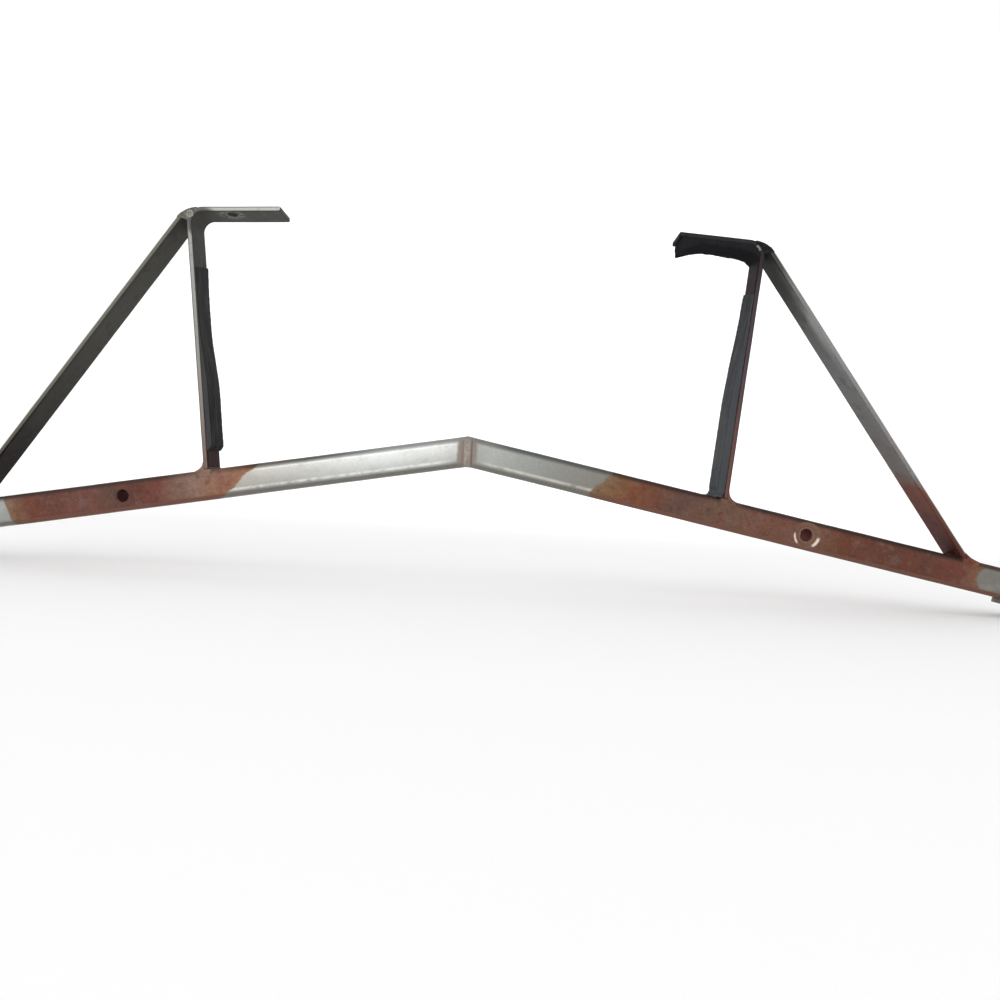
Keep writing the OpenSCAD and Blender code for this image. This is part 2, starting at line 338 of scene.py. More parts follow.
def dent_depth(side, x, z):
    """How far a bolt head has pressed the front wall in: a flat dish with a steep, slightly raised rim."""
    r = hypot(x - BOLT_X, z) / DENT_R
    raised = 0.25 * DENTS[side] * step(r, 0.78, 0.95) * (1 - step(r, 0.95, 1.2))
    return DENTS[side] * (1 - step(r, 0.68, 0.92)) - raised


def tube_ring(side, s, section, shift):
    """One section of the tube, slanted near the mitre, dented round the hole and uneven by shift."""
    ring = []
    skew = max(0, 1 - s / (40 * MM))
    for y, t in section:
        point = on_tube(s - t * tan(DROOP) * skew, t)
        front = step(-y, TUBE_W * 0.3, TUBE_W * 0.4)
        y += front * dent_depth(side, point.x, point.y)
        spot = place(side, point, y)
        outward = Vector((0, y, 0)) + place(side, SQUARE_UP, 0) * t
        edge = min(1, s / (20 * MM))
        uneven = wobble(spot, 38 * MM, side) + 0.4 * wobble(spot, 11 * MM, 3)
        spot += outward.normalized() * shift * edge * uneven
        ring.append(spot)
    return ring


def make_tube(side):
    near = 24 * MM
    bolt_s = BOLT_X / cos(DROOP)
    stations = spread(0, bolt_s - near, 5 * MM)[:-1] + spread(bolt_s - near, bolt_s + near, 1.1 * MM)
    stations += spread(bolt_s + near, TUBE_LEN, 5 * MM)[1:]
    outer = rounded_rectangle(TUBE_W, TUBE_W, TUBE_R, 24, 24, corner=8)
    inner_w = TUBE_W - 2 * TUBE_WALL
    inner = rounded_rectangle(inner_w, inner_w, TUBE_R - TUBE_WALL, 24, 24, corner=8)
    n = len(outer)
    verts = []
    for section in (outer, inner):
        for s in stations:
            verts += tube_ring(side, s, section, 0.16 * MM)
    half = len(stations) * n
    faces = grid_faces(len(stations), n) + grid_faces(len(stations), n, half)
    for base in (0, (len(stations) - 1) * n):
        for i in range(n):
            j = (i + 1) % n
            faces.append((base + i, base + j, half + base + j, half + base + i))
    tube = add_mesh("tube_" + SIDE_NAMES[side], verts, faces)
    flare = 0.7 * MM
    front = -TUBE_W / 2 + DENTS[side]
    past = 9 * MM
    profile = [(front - past, BOLT_R + flare), (front, BOLT_R + flare),
               (front + flare / 2, BOLT_R + flare / 4), (front + 1.2 * flare, BOLT_R),
               (TUBE_W / 2 - flare, BOLT_R), (TUBE_W / 2, BOLT_R + flare / 2),
               (TUBE_W / 2 + past, BOLT_R + flare)]
    cut_round(tube, (side * BOLT_X, 0, 0), (0, 1, 0), profile)
    return tube


def make_apex_bead():
    """A rippled bead round the mitre; the shallow groove beside it is not built but painted on the tube as a
    line of shade.
    """
    width = 9.4 * MM
    height = 0.7 * MM
    section = rounded_rectangle(TUBE_W, TUBE_W, TUBE_R, 40, 40, corner=14)
    across = 14
    rings = []
    length = 0
    for i, (y, t) in enumerate(section):
        last = section[i - 1]
        length += hypot(y - last[0], t - last[1])
        ring = []
        cx = min(max(y, TUBE_R - TUBE_W / 2), TUBE_W / 2 - TUBE_R)
        cz = min(max(t, TUBE_R - TUBE_W / 2), TUBE_W / 2 - TUBE_R)
        normal = Vector((y - cx, t - cz)).normalized()
        drift = 0.5 * MM * noise.noise(Vector((length / (12 * MM), 0, 0)))
        for k in range(across + 1):
            u = k / across * 2 - 1
            ripple = sin(2 * pi * (length / (3.4 * MM) - 0.7 * (1 - u * u)))
            rise = height * (1 - u * u) * (1 + 0.04 * ripple) - 0.3 * MM
            x = drift + u * width / 2
            fall = -sqrt(x * x + (1.5 * MM) ** 2) * tan(DROOP)
            z = APEX_Z + fall + (t + normal.y * rise) / cos(DROOP)
            ring.append(Vector((x, y + normal.x * rise, z)))
        sunk = Vector((0, normal.x, normal.y)) * 1.2 * MM
        rings.append(ring + [spot - sunk for spot in reversed(ring)])
    n = len(rings[0])
    verts = [p for ring in rings for p in ring]
    faces = grid_faces(len(rings), n)
    base = (len(rings) - 1) * n
    for i in range(n):
        j = (i + 1) % n
        faces.append((base + i, base + j, j, i))
    return add_mesh("apex_bead", verts, faces)


# ------------ flat bars


def bar_ring(side, p, n, inset=0.0):
    """One slightly uneven section of flat bar: p is on its outer face and n points through it."""
    ring = []
    radius = max(BAR_EDGE - inset, 0.15 * MM)
    for y, b in rounded_rectangle(TUBE_W - 2 * inset, BAR_T - 2 * inset, radius, 16, 4):
        spot = place(side, p + n * (b + BAR_T / 2), y)
        outward = place(side, n, 0) * b * 3 + Vector((0, y, 0))
        uneven = 0.22 * MM * wobble(spot, 45 * MM, 5 + side) + 0.07 * MM * wobble(spot, 9 * MM, 7)
        ring.append(spot + outward.normalized() * (uneven - 0.05 * MM))
    return ring


def make_upright(side):
    """The post, the bend and the arm in one length of bar."""
    up, inward = post_dir(side), post_in(side)
    start = tube_top_at(FOOT_X) - up * 7.5 * MM
    post_end = corner_of(side) - up * bend_tangent(side)
    stations = spread(0, (post_end - start).length, 3 * MM)[:-1]
    rings = [bar_ring(side, start + up * d, inward) for d in stations]
    steps = 22
    for i in range(steps):
        out = bend_out(side, bend_turn(side) * i / steps)
        rings.append(bar_ring(side, bend_centre(side) + out * (BEND_R + BAR_T), -out))
    arm_start = corner_of(side) + ARM_DIR * bend_tangent(side)
    straight = arm_len(side) - bend_tangent(side)
    for d in spread(0, straight - BAR_EDGE, 3 * MM):
        rings.append(bar_ring(side, arm_start + ARM_DIR * d, ARM_DOWN))
    for i in range(1, 5):
        a = pi / 2 * i / 4
        d = straight - BAR_EDGE * (1 - sin(a))
        rings.append(bar_ring(side, arm_start + ARM_DIR * d, ARM_DOWN, BAR_EDGE * (1 - cos(a))))
    bar = loft("upright_" + SIDE_NAMES[side], rings)
    if side == LEFT:
        drill(bar, ARM_HOLE)
    return bar


def make_brace(side):
    down, inward = brace_dir(side), brace_in(side)
    start = brace_top(side) + down * (BRACE_CUT - 1.5 * MM)
    end = tube_top_at(BRACE_FOOT_X) + down * 7 * MM
    rings = [bar_ring(side, start + down * d, inward) for d in spread(0, (end - start).length, 3 * MM)]
    return loft("brace_" + SIDE_NAMES[side], rings)


# ------------ welds


def fillet_outline(p, u, v, radius, sink):
    """A hollow fillet between faces along u and v, carried on behind both faces by sink."""
    half = acos(u.dot(v)) / 2
    reach = radius / tan(half)
    middle = (u + v).normalized()
    centre = p + middle * radius / sin(half)
    first = p + u * reach
    last = p + v * reach
    spoke = first - centre
    back = -middle * sink
    hollow = arc(centre, spoke, spoke.angle_signed(last - centre), 12)
    return hollow + [last + back, p + back * 2, first + back]


def make_foot_weld(side, name, at, up, across, outer_r, inner_r):
    """Fillets outside and inside a bar's foot, and metal over the tube's shoulders between them.

    at is the foot of the bar's outer face, and across runs along the tube through the bar."""
    proud = 0.2 * MM
    depth = TUBE_W / 2 + proud
    outer = fillet_outline(at, up, ALONG, outer_r, 2 * MM)
    inner = fillet_outline(at + across, up, -ALONG, inner_r, 2 * MM)
    lead_len = min(outer_r * 0.95, 15 * MM)
    lead = ALONG * lead_len
    lag = -ALONG * (inner_r * 0.9)
    lag_end = BAR_T + inner_r + 2 * MM
    top = up * 1.5 * MM
    below = -SQUARE_UP * (TUBE_R + 1 * MM)
    shoulder = [at + lead, at + top, at + across + top, at + across + lag, at + across + lag + below * 0.8,
                at + across + below, at + below, at + lead + below * 0.8]
    solids = [prism(side, outline, -depth, depth) for outline in (outer, inner, shoulder)]
    weld = lump(name, solids, 0.8 * MM, 5)

    def ripples(point, normal):
        wave = sin(2 * pi * (point.y / (3.2 * MM) + 0.5 * wobble(point, 14 * MM, 2)))
        side_on = 1 - 0.9 * abs(normal.y)
        reach = (Vector((side * point.x, point.z)) - at).dot(ALONG)
        run_out = step(reach, lead_len * 0.65, lead_len * 1.3) + step(-reach, BAR_T + 1 * MM, lag_end)
        on_shoulder = step(abs(point.y), TUBE_W / 2 - TUBE_R, TUBE_W / 2)
        back = -copysign(TUBE_R * 0.85, point.y) * run_out * on_shoulder
        bumps = 0.12 * MM * wave + 0.2 * MM * wobble(point, 6 * MM, 9)
        return normal * side_on * bumps + Vector((0, back, 0))

    move_points(weld, ripples)
    return weld


def make_upright_foot_weld(side):
    up = post_dir(side)
    across = -ALONG * (BAR_T / up.dot(SQUARE_UP))
    return make_foot_weld(side, "upright_foot_weld_" + SIDE_NAMES[side], tube_top_at(FOOT_X), up, across,
                          *UPRIGHT_FILLETS[side])


def make_brace_foot_weld(side):
    down = brace_dir(side)
    across = ALONG * (BAR_T / down.dot(SQUARE_UP))
    return make_foot_weld(side, "brace_foot_weld_" + SIDE_NAMES[side], tube_top_at(BRACE_FOOT_X), -down,
                          across, *BRACE_FILLETS)


def dab_centre(side):
    """Where a round dab of weld shows on the front of the left corner."""
    return corner_of(side) + Vector((-6.5 * MM, -8.7 * MM))


def make_corner_weld(side):
    """Dressed weld metal between the bend and the brace."""
    top, run, inward = brace_top(side), brace_dir(side), brace_in(side)
    radius = 34 * MM
    reach = radius * tan(acos(-ARM_DIR.dot(run)) / 2)
    start = top + ARM_DIR * reach
    centre = start + ARM_DOWN * radius
    spoke = start - centre
    angle = spoke.angle_signed((top + run * reach) - centre)
    centre += (ARM_DOWN + inward).normalized() * 0.5 * MM
    cut = top + run * (BRACE_CUT + 3 * MM)
    outline = arc(centre, spoke, angle, 16) + [cut, cut + inward * BAR_T]
    outline.append(corner_of(side) - post_dir(side) * BRACE_CUT * 1.9 + post_in(side) * BAR_T * 0.5)
    outline += bend_arc(side, BEND_R + BAR_T * 0.5, 8)
    outline.append(start + ARM_DOWN * BAR_T * 0.5)
    half = TUBE_W / 2 + 0.15 * MM
    solids = [prism(side, outline, -half, half)]
    spot = dab_centre(side)
    if side == LEFT:
        dab = arc(spot, Vector((4.6 * MM, 0)), -2 * pi, 16)[:-1]
        solids.append(prism(side, dab, -half - 0.4 * MM, -half + 3 * MM))
    weld = lump("corner_weld_" + SIDE_NAMES[side], solids, 0.8 * MM, 4)

    def uneven(point, normal):
        span = (Vector((side * point.x, point.z)) - spot).length
        swirl = cos(2 * pi * span / (3 * MM)) * (1 - step(span, 4 * MM, 6 * MM))
        swirl *= 0.35 * MM * max(-normal.y, 0) if side == LEFT else 0
        rough = 0.15 * MM * wobble(point, 7 * MM, 4) + 0.08 * MM * wobble(point, 2.4 * MM, 6)
        return normal * (rough + swirl)

    move_points(weld, uneven)
    return weld


# ------------ pads


def make_upright_pad(side, top, end, thickness, ramp, toe, flare):
    """A rubber pad on an upright's inner face. thickness and ramp run from above to below."""
    face = corner_of(side) + post_in(side) * BAR_T
    up, inward = post_dir(side), post_in(side)
    outline = [face - up * top - inward * 0.4 * MM]
    steps = 40
    for i in range(steps + 1):
        d = top + (end - top) * i / steps
        thick = thickness[0] + (thickness[1] - thickness[0]) * step(d, *ramp)
        thick *= step(d - top, -2 * MM, 9 * MM)
        short = max(0, d - (end - toe)) / toe
        thick -= short * toe * 0.9
        outline.append(face - up * d + inward * max(thick, 0.9 * MM))
    outline.append(face - up * end - inward * 0.4 * MM)
    half = TUBE_W / 2 - 0.1 * MM
    solids = [prism(side, outline, -half, half)]
    if flare:
        foot = tube_top_at(FOOT_X) - ALONG * (BAR_T + thickness[1]) / up.dot(SQUARE_UP) + SQUARE_UP * 0.3 * MM
        fillet = [foot - SQUARE_UP * 1.5 * MM]
        for i in range(9):
            k = i / 8
            fillet.append(foot + up * flare * 0.5 * (1 - k) ** 2 - ALONG * flare * 1.35 * k ** 2)
        solids.append(prism(side, fillet, -half + 1.5 * MM, half))
        bar_face = tube_top_at(FOOT_X) - ALONG * (BAR_T + 0.3 * MM) + SQUARE_UP * 0.6 * MM
        block = [bar_face, bar_face + up * flare, foot + up * flare * 0.6, foot]
        solids.append(prism(side, block, -half + 1.5 * MM, half))
    pad = lump("upright_pad_" + SIDE_NAMES[side], solids, 1.0 * MM, 3)
    lift = 9 * MM
    top_z = (face - up * top).y

    def askew(point, normal):
        """The top edge is cut askew: it stands higher at the back."""
        near_top = step(point.z, top_z - 30 * MM, top_z)
        return Vector((0, 0, near_top * lift * (point.y / TUBE_W + 0.5)))

    move_points(pad, askew)

    def worn(point, normal):
        tall = Vector((point.x, point.y, point.z * 0.35))
        wave = 0.45 * MM * wobble(tall, 13 * MM, 11 * side) + 0.18 * MM * wobble(tall, 4 * MM, 13)
        return normal * wave

    move_points(pad, worn)
    return pad


def make_arm_pad():
    """The pad under the right arm: a lip at the free end, then a strip that runs on into the bend."""
    side = RIGHT
    thick = 5.4 * MM
    lip = 14.6 * MM
    inset = 3.5 * MM
    free_end = corner_of(side) + ARM_DIR * arm_len(side) + ARM_DOWN * BAR_T
    straight = arm_len(side) - bend_tangent(side)
    post_face = arm_len(side) - BAR_T
    lower = [(inset, -BAR_T / 2), (inset + 1 * MM, lip - 1 * MM), (inset + 3.5 * MM, lip),
             (16 * MM, thick * 2), (24 * MM, thick * 1.5), (31 * MM, thick * 1.15),
             (39 * MM, thick), (53 * MM, thick),
             (69 * MM, thick * 1.25), (straight, thick * 1.5), (straight + 6 * MM, thick * 1.7),
             (post_face, BEND_R + 1.5 * MM)]
    outline = [free_end - ARM_DIR * along + ARM_DOWN * down for along, down in lower]
    middle = BEND_R + BAR_T * 0.3
    outline.append(bend_centre(side) - post_in(side) * middle - post_dir(side) * 3 * MM)
    outline += bend_arc(side, middle, 12)
    half = TUBE_W / 2 - 0.1 * MM
    pad = lump("arm_pad", [prism(side, outline, -half, half)], 1.0 * MM, 3)

    def ragged(point, normal):
        edge = step(abs(point.y), TUBE_W * 0.38, TUBE_W * 0.5)
        wave = 0.5 * MM * wobble(point, 9 * MM, 21) + (0.25 + 0.5 * edge) * MM * wobble(point, 3.5 * MM, 23)
        return normal * wave

    move_points(pad, ragged)
    return pad


# ------------ ends


def make_tab(side):
    """A flat tab under the tube's end, with round ends and a bolt hole."""
    hole = mounts[SIDE_NAMES[side] + "_tab_hole"]
    radius = TUBE_W / 2
    outer_end = Vector((abs(hole["pos_m"][0]), hole["pos_m"][2]))
    between = TAB_LEN - TUBE_W
    edge = 0.7 * MM
    rings = []
    levels = [(-BAR_T / 2 + edge * (1 - sin(a)), edge * (1 - cos(a)))
              for a in (pi / 2, pi / 3, pi / 6, 0)]
    levels += [(-h, inset) for h, inset in reversed(levels)]
    for level, inset in levels:
        ring = []
        for end in (0, 1):
            for i in range(25):
                a = pi * (end + i / 24) - pi / 2
                y = (radius - inset) * sin(a)
                reach = (radius - inset) * cos(a) - end * between
                ring.append(place(side, outer_end + ALONG * reach + SQUARE_UP * level, y))
        rings.append(ring)
    tab = loft("tab_" + SIDE_NAMES[side], rings)
    drill(tab, hole)
    return tab


def make_tab_weld(side):
    """Beads along the tab's joint: one across the tube's closed end, one in the groove at the back."""
    bottom = -TUBE_W / 2
    across = fillet_outline(on_tube(TUBE_LEN + END_PLATE_T, bottom), SQUARE_UP, ALONG, 5 * MM, 1.5 * MM)
    reach = TUBE_W / 2 - TUBE_R
    low = on_tube(TAB_START + TUBE_W / 2, bottom)
    high = on_tube(TUBE_LEN, bottom)
    y = TUBE_W / 2 - TUBE_R * 0.55
    rise = SQUARE_UP * TUBE_R * 0.55
    sink = SQUARE_UP * 1 * MM
    groove = [low - sink, high - sink, high + rise, low + rise]
    solids = [prism(side, across, -reach, reach), prism(side, groove, y - 1.8 * MM, y + 1.8 * MM)]
    weld = lump("tab_weld_" + SIDE_NAMES[side], solids, 0.7 * MM, 4)

    def ripples(point, normal):
        wave = sin(2 * pi * (point.y - point.x) / (3 * MM))
        return normal * (0.15 * MM * wave + 0.2 * MM * wobble(point, 4 * MM, 8))

    move_points(weld, ripples)
    return weld


def make_end_plate(side):
    edge = 0.8 * MM
    rings = []
    for s, inset in ((-0.2 * MM, 0), (END_PLATE_T - edge, 0), (END_PLATE_T - edge * 0.3, edge * 0.3),
                     (END_PLATE_T, edge)):
        section = rounded_rectangle(TUBE_W - 2 * inset, TUBE_W - 2 * inset, TUBE_R - inset, 8, 8)
        rings.append([place(side, on_tube(TUBE_LEN + s, t), y) for y, t in section])
    return loft("end_plate_" + SIDE_NAMES[side], rings)


# ------------ materials


def rgb(r, g, b):
    """A base colour that looks like this sRGB colour under the studio's light."""
    def linear(c):
        c /= 255
        return c / 12.92 if c <= 0.04045 else ((c + 0.055) / 1.055) ** 2.4
    return (STUDIO_GAIN * linear(r), STUDIO_GAIN * linear(g), STUDIO_GAIN * linear(b), 1)


class Number:
    """A number that a material's nodes work out. Arithmetic with it adds the next node."""

    def __init__(self, shader, socket):
        self.shader = shader
        self.socket = socket

    def __add__(self, other):
        return self.shader.maths("ADD", self, other)

    def __sub__(self, other):
        return self.shader.maths("SUBTRACT", self, other)

    def __rsub__(self, other):
        return self.shader.maths("SUBTRACT", other, self)

    def __mul__(self, other):
        return self.shader.maths("MULTIPLY", self, other)

    def __truediv__(self, other):
        return self.shader.maths("DIVIDE", self, other)

    def __abs__(self):
        return self.shader.maths("ABSOLUTE", self)

    def step(self, low, high):
        """0 where this is below low, 1 above high, smooth between; low may be the higher one."""
        flip = low > high
        inputs = {"Value": self, "From Min": min(low, high), "From Max": max(low, high),
                  "To Min": float(flip), "To Max": 1.0 - flip}
        node = self.shader.node("MapRange", inputs, interpolation_type="SMOOTHSTEP")
        return Number(self.shader, node.outputs["Result"])

    def blend(self, a, b):
        """A number that goes from a to b as this goes from 0 to 1."""
        return Number(self.shader, self.shader.node("Mix", {0: self, 2: a, 3: b}).outputs[0])


class Shader:
    """Short calls that build one material's nodes."""

    def __init__(self, name):
        self.material = bpy.data.materials.new(name)
        self.material.use_nodes = True
        self.nodes = self.material.node_tree.nodes
        self.links = self.material.node_tree.links
        self.bsdf = next(n for n in self.nodes if n.type == "BSDF_PRINCIPLED")
        coordinates = self.nodes.new("ShaderNodeTexCoord")
        self.position = coordinates.outputs["Object"]
        self.normal = coordinates.outputs["Normal"]
        self.x = self.dot(self.position, (1, 0, 0))
        self.y = self.dot(self.position, (0, 1, 0))
        self.z = self.dot(self.position, (0, 0, 1))
        self.front = self.dot(self.normal, (0, -1, 0))

    def put(self, socket, value):
        if isinstance(value, Number):
            value = value.socket
        if isinstance(value, bpy.types.NodeSocket):
            self.links.new(value, socket)
        else:
            socket.default_value = value

    def node(self, kind, inputs, **settings):
        """A new node. inputs is the values of its sockets by name or number."""
        node = self.nodes.new("ShaderNode" + kind)
        for name, value in settings.items():
            setattr(node, name, value)
        for name, value in inputs.items():
            self.put(node.inputs[name], value)
        return node

    def maths(self, operation, a, b=0.0):
        return Number(self, self.node("Math", {0: a, 1: b}, operation=operation).outputs[0])

    def dot(self, vector, direction):
        node = self.node("VectorMath", {0: vector, 1: direction}, operation="DOT_PRODUCT")
        return Number(self, node.outputs["Value"])

    def distance(self, vector, point):
        node = self.node("VectorMath", {0: vector, 1: point}, operation="DISTANCE")
        return Number(self, node.outputs["Value"])

    def from_line(self, x, z):
        """Distance from the line along Y through x and z."""
        return self.distance(self.scaled(1, 0, 1), (x, 0, z))

    def tint(self, colour, factor):
        return self.node("VectorMath", {0: colour, "Scale": factor}, operation="SCALE").outputs["Vector"]

    def scaled(self, x, y, z):
        return self.node("Mapping", {"Vector": self.position, "Scale": (x, y, z)}).outputs["Vector"]

    def noise(self, size, detail, vector=None, seed=0.0, rough=0.55):
        """Noise from 0 to 1 with lumps of the given size in metres."""
        inputs = {"Vector": vector or self.position, "W": seed, "Scale": 1 / size,
                  "Detail": detail, "Roughness": rough}
        return Number(self, self.node("TexNoise", inputs, noise_dimensions="4D").outputs["Fac"])

    def ragged(self, size, detail, seed, reach):
        """Noise from -reach / 2 to reach / 2, for an uneven border."""
        return (self.noise(size, detail, seed=seed) - 0.5) * reach

    def mix(self, factor, a, b):
        """A colour that goes from a to b."""
        return self.node("Mix", {0: factor, 6: a, 7: b}, data_type="RGBA").outputs[2]

    def patches(self, colour, tone, share, noise, low, high):
        """Lays share of a tone over a colour where the noise is high: none at low, all of it at high."""
        return self.mix(noise.step(low, high) * share, colour, tone)

    def ramp(self, value, stops):
        """Colours along a value. stops is (value, red, green, blue) in rising order."""
        low, high = stops[0][0], stops[-1][0]
        node = self.node("ValToRGB", {0: (value - low) / (high - low)})
        elements = node.color_ramp.elements
        elements[0].color = rgb(*stops[0][1:])
        elements[-1].color = rgb(*stops[-1][1:])
        for at, *tone in stops[1:-1]:
            elements.new((at - low) / (high - low)).color = rgb(*tone)
        return node.outputs[0]

    def finish(self, colour, roughness, metallic, bumps, sheen=SHEEN):
        """bumps is (height value, strength, distance in metres) from coarse to fine."""
        self.put(self.bsdf.inputs["Base Color"], colour)
        self.put(self.bsdf.inputs["Roughness"], roughness)
        self.put(self.bsdf.inputs["Metallic"], metallic)
        self.put(self.bsdf.inputs["Specular IOR Level"], sheen)
        target = self.bsdf.inputs["Normal"]
        for height, strength, distance in reversed(bumps):
            node = self.node("Bump", {"Height": height, "Strength": strength, "Distance": distance})
            self.links.new(node.outputs["Normal"], target)
            target = node.inputs["Normal"]
        return self.material


# Each look's colours are along the tube, as distances in metres from the mitre. A lean is how far a
# border moves along the tube for each metre up its face. The pale line along the lower shoulder is a
# painted highlight.
TUBE_LOOKS = {
    LEFT: dict(
        silver=[(0.0, 172, 172, 169), (0.03, 190, 191, 188), (0.10, 196, 198, 195),
                (0.16, 190, 191, 188), (0.20, 182, 182, 177), (0.30, 170, 167, 159)],
        silver_slope=22, sparkle_highlights=rgb(226, 227, 226),
        rust=[(0.255, 152, 124, 102), (0.285, 158, 112, 86), (0.315, 144, 106, 88),
              (0.345, 140, 112, 98), (0.37, 126, 98, 84), (0.392, 114, 70, 60),
              (0.425, 100, 64, 54), (0.45, 94, 70, 60), (0.48, 116, 78, 68),
              (0.53, 108, 70, 60), (0.56, 112, 68, 54), (0.58, 132, 104, 84)],
        rust_from=287.5 * MM, rust_lean=-1.39,
        bare_from=584 * MM, bare=(rgb(158, 161, 157), rgb(176, 178, 174)),
        groove_shade_share=0.25,
        # the line colour is a painted highlight along the lower shoulder
        line=rgb(232, 231, 226), highlight_share=0.6, highlight_noise=(9 * MM, 5),
        # the top colours are painted shade on the tube's top; the foot's reach and share make it fainter near
        # the upright's foot
        top=(rgb(146, 146, 146), rgb(80, 79, 77)), top_shade_fade=(90 * MM, 200 * MM), top_rust_shade=rgb(70, 55, 52),
        foot_shade_reach=62 * MM, foot_shade_share=0.3,
        # inside is the tube's inside, painted light
        lip=rgb(84, 72, 66), lip_share=0.45, inside=rgb(196, 150, 148)),
    RIGHT: dict(
        silver=[(0.0, 150, 150, 146), (0.03, 157, 160, 156), (0.06, 152, 155, 150),
                (0.10, 143, 144, 140), (0.15, 137, 134, 128), (0.19, 132, 128, 119)],
        silver_slope=3, sparkle_highlights=rgb(172, 175, 172),
        rust=[(0.16, 132, 118, 96), (0.185, 128, 98, 72), (0.205, 124, 84, 62),
              (0.235, 116, 74, 56), (0.27, 98, 74, 66), (0.33, 112, 85, 71),
              (0.36, 116, 87, 72), (0.39, 112, 76, 64), (0.45, 120, 88, 72),
              (0.485, 106, 66, 50), (0.54, 101, 64, 54), (0.60, 99, 64, 52),
              (0.64, 112, 67, 56), (0.665, 130, 102, 80)],
        rust_from=171 * MM, rust_lean=0.65,
        bare_from=658 * MM, bare=(rgb(126, 124, 118), rgb(142, 139, 132)),
        groove_shade_share=0.55,
        # the line colour is a painted highlight along the lower shoulder
        line=rgb(214, 206, 194), highlight_share=0.75, highlight_noise=(22 * MM, 3),
        # the top colours are painted shade on the tube's top; the foot's reach and share make it fainter near
        # the upright's foot
        top=(rgb(128, 129, 127), rgb(86, 88, 88)), top_shade_fade=(20 * MM, 60 * MM), top_rust_shade=rgb(56, 42, 38),
        foot_shade_reach=30 * MM, foot_shade_share=0.5,
        # inside is the tube's inside, painted light
        lip=rgb(148, 128, 116), lip_share=0.4, inside=rgb(206, 144, 130)),
}
# Layers of mottling over rust: redder and greyer patches, dark smoke and specks, and pale flecks.
# Each is the noise's size, detail, seed and roughness, where it starts and is full, its share and its tone.
RUST_LAYERS = [
    (13 * MM, 6, 4.1, 0.65, 0.50, 0.66, 0.5, rgb(120, 56, 42)),
    (19 * MM, 5, 8.7, 0.60, 0.52, 0.68, 0.5, rgb(118, 96, 90)),
    (8 * MM, 5, 3.3, 0.55, 0.55, 0.70, 0.35, rgb(72, 50, 44)),
    (2.0 * MM, 5, 2.0, 0.70, 0.56, 0.72, 0.4, rgb(64, 42, 36)),
    (2.8 * MM, 4, 6.0, 0.55, 0.60, 0.72, 0.3, rgb(166, 132, 118)),
]


def tube_silver(shader, look, s, t, cloudy):
    """What is left of the bright finish: cloudy, with painted sparkle highlights on the upper half near the
    mitre.
    """
    silver = shader.tint(shader.ramp(s, look["silver"]), t * look["silver_slope"] + 1.0)
    silver = shader.patches(silver, rgb(140, 140, 135), 0.3, cloudy, 0.5, 0.72)
    sparkle = shader.noise(3.2 * MM, 5, seed=12.0, rough=0.7)
    silver = shader.tint(silver, sparkle.blend(0.8, 1.2))
    upper_half = t.step(-6 * MM, 6 * MM)
    # Painted sparkle highlights: white specks on the upper half near the mitre.
    sparkle_highlights = sparkle.step(0.56, 0.66) * s.step(190 * MM, 60 * MM) * upper_half
    return shader.mix(sparkle_highlights * 0.55, silver, look["sparkle_highlights"])


def tube_rust(shader, look, s, t, ragged):
    """Mottled rust, whose bands lean with its border near that border."""
    border, lean = look["rust_from"], look["rust_lean"]
    leaned = t * -lean * s.step(border + 75 * MM, border + 30 * MM)
    rust = shader.ramp(s + ragged + leaned, look["rust"])
    for size, detail, seed, rough, low, high, share, tone in RUST_LAYERS:
        layer = shader.noise(size, detail, seed=seed, rough=rough)
        rust = shader.patches(rust, tone, share, layer, low, high)
    grain = shader.noise(3.5 * MM, 6, seed=31.0, rough=0.7).blend(0.55, 1.45)
    return shader.tint(rust, grain * shader.noise(15 * MM, 5, seed=33.0).blend(0.7, 1.3))


def bare_metal(shader, side, look, s, t, close):
    """1 where the rust ends in bare metal near the tube's end."""
    bulge = t * 0.25 if side == LEFT else t * t * 40.0
    bare = (s - look["bare_from"] - bulge + close * 0.5).step(0, 3 * MM)
    if side == RIGHT:
        bare *= abs(t).step(15 * MM, 12.5 * MM)
    return bare


def top_and_underside_shade(shader, side, look, colour, s, covered):
    """Painted shade on the tube's top, fainter near the upright's foot, and on its underside."""
    up = shader.dot(shader.normal, (side * SQUARE_UP.x, 0, SQUARE_UP.y))
    finish_shade = shader.mix(s.step(*look["top_shade_fade"]), *look["top"])
    if side == LEFT:
        # On the left, the top's painted shade is browner where a film of rust has crept along the top.
        stain_and_shade = s.step(190 * MM, 250 * MM) * s.step(500 * MM, 400 * MM)
        finish_shade = shader.mix(stain_and_shade, finish_shade, rgb(104, 92, 87))
    shade = shader.mix(covered, finish_shade, look["top_rust_shade"])
    foot_s = (FOOT_X - 8 * MM) / cos(DROOP)
    near_foot = abs(s - foot_s).step(look["foot_shade_reach"], 14 * MM)
    strength = near_foot.blend(0.9, look["foot_shade_share"])
    colour = shader.mix(up.step(0.0, 0.75) * strength, colour, shade)
    # Painted shade on the tube's rounded underside.
    under = shader.mix(covered, rgb(127, 124, 117), rgb(120, 84, 71))
    return shader.mix(up.step(-0.25, -0.5) * 0.9, colour, under)


def inner_corner_shade(shader, side, colour, t):
    """Painted shade where the inner faces of the upright and the brace meet the tube."""
    on_top = t.step(TUBE_W / 2 - 0.2 * MM, TUBE_W / 2 + 0.5 * MM)
    post, brace = post_dir(side), brace_dir(side)
    for foot_x, thick in ((FOOT_X, BAR_T / post.dot(SQUARE_UP)),
                          (BRACE_FOOT_X, -BAR_T / brace.dot(SQUARE_UP))):
        root = tube_top_at(foot_x) - ALONG * (thick + 1 * MM) + SQUARE_UP * 0.5 * MM
        corner_shade = shader.from_line(side * root.x, root.y).step(8 * MM, 4 * MM) * on_top
        colour = shader.mix(corner_shade * 0.85, colour, rgb(40, 26, 23))
    return colour


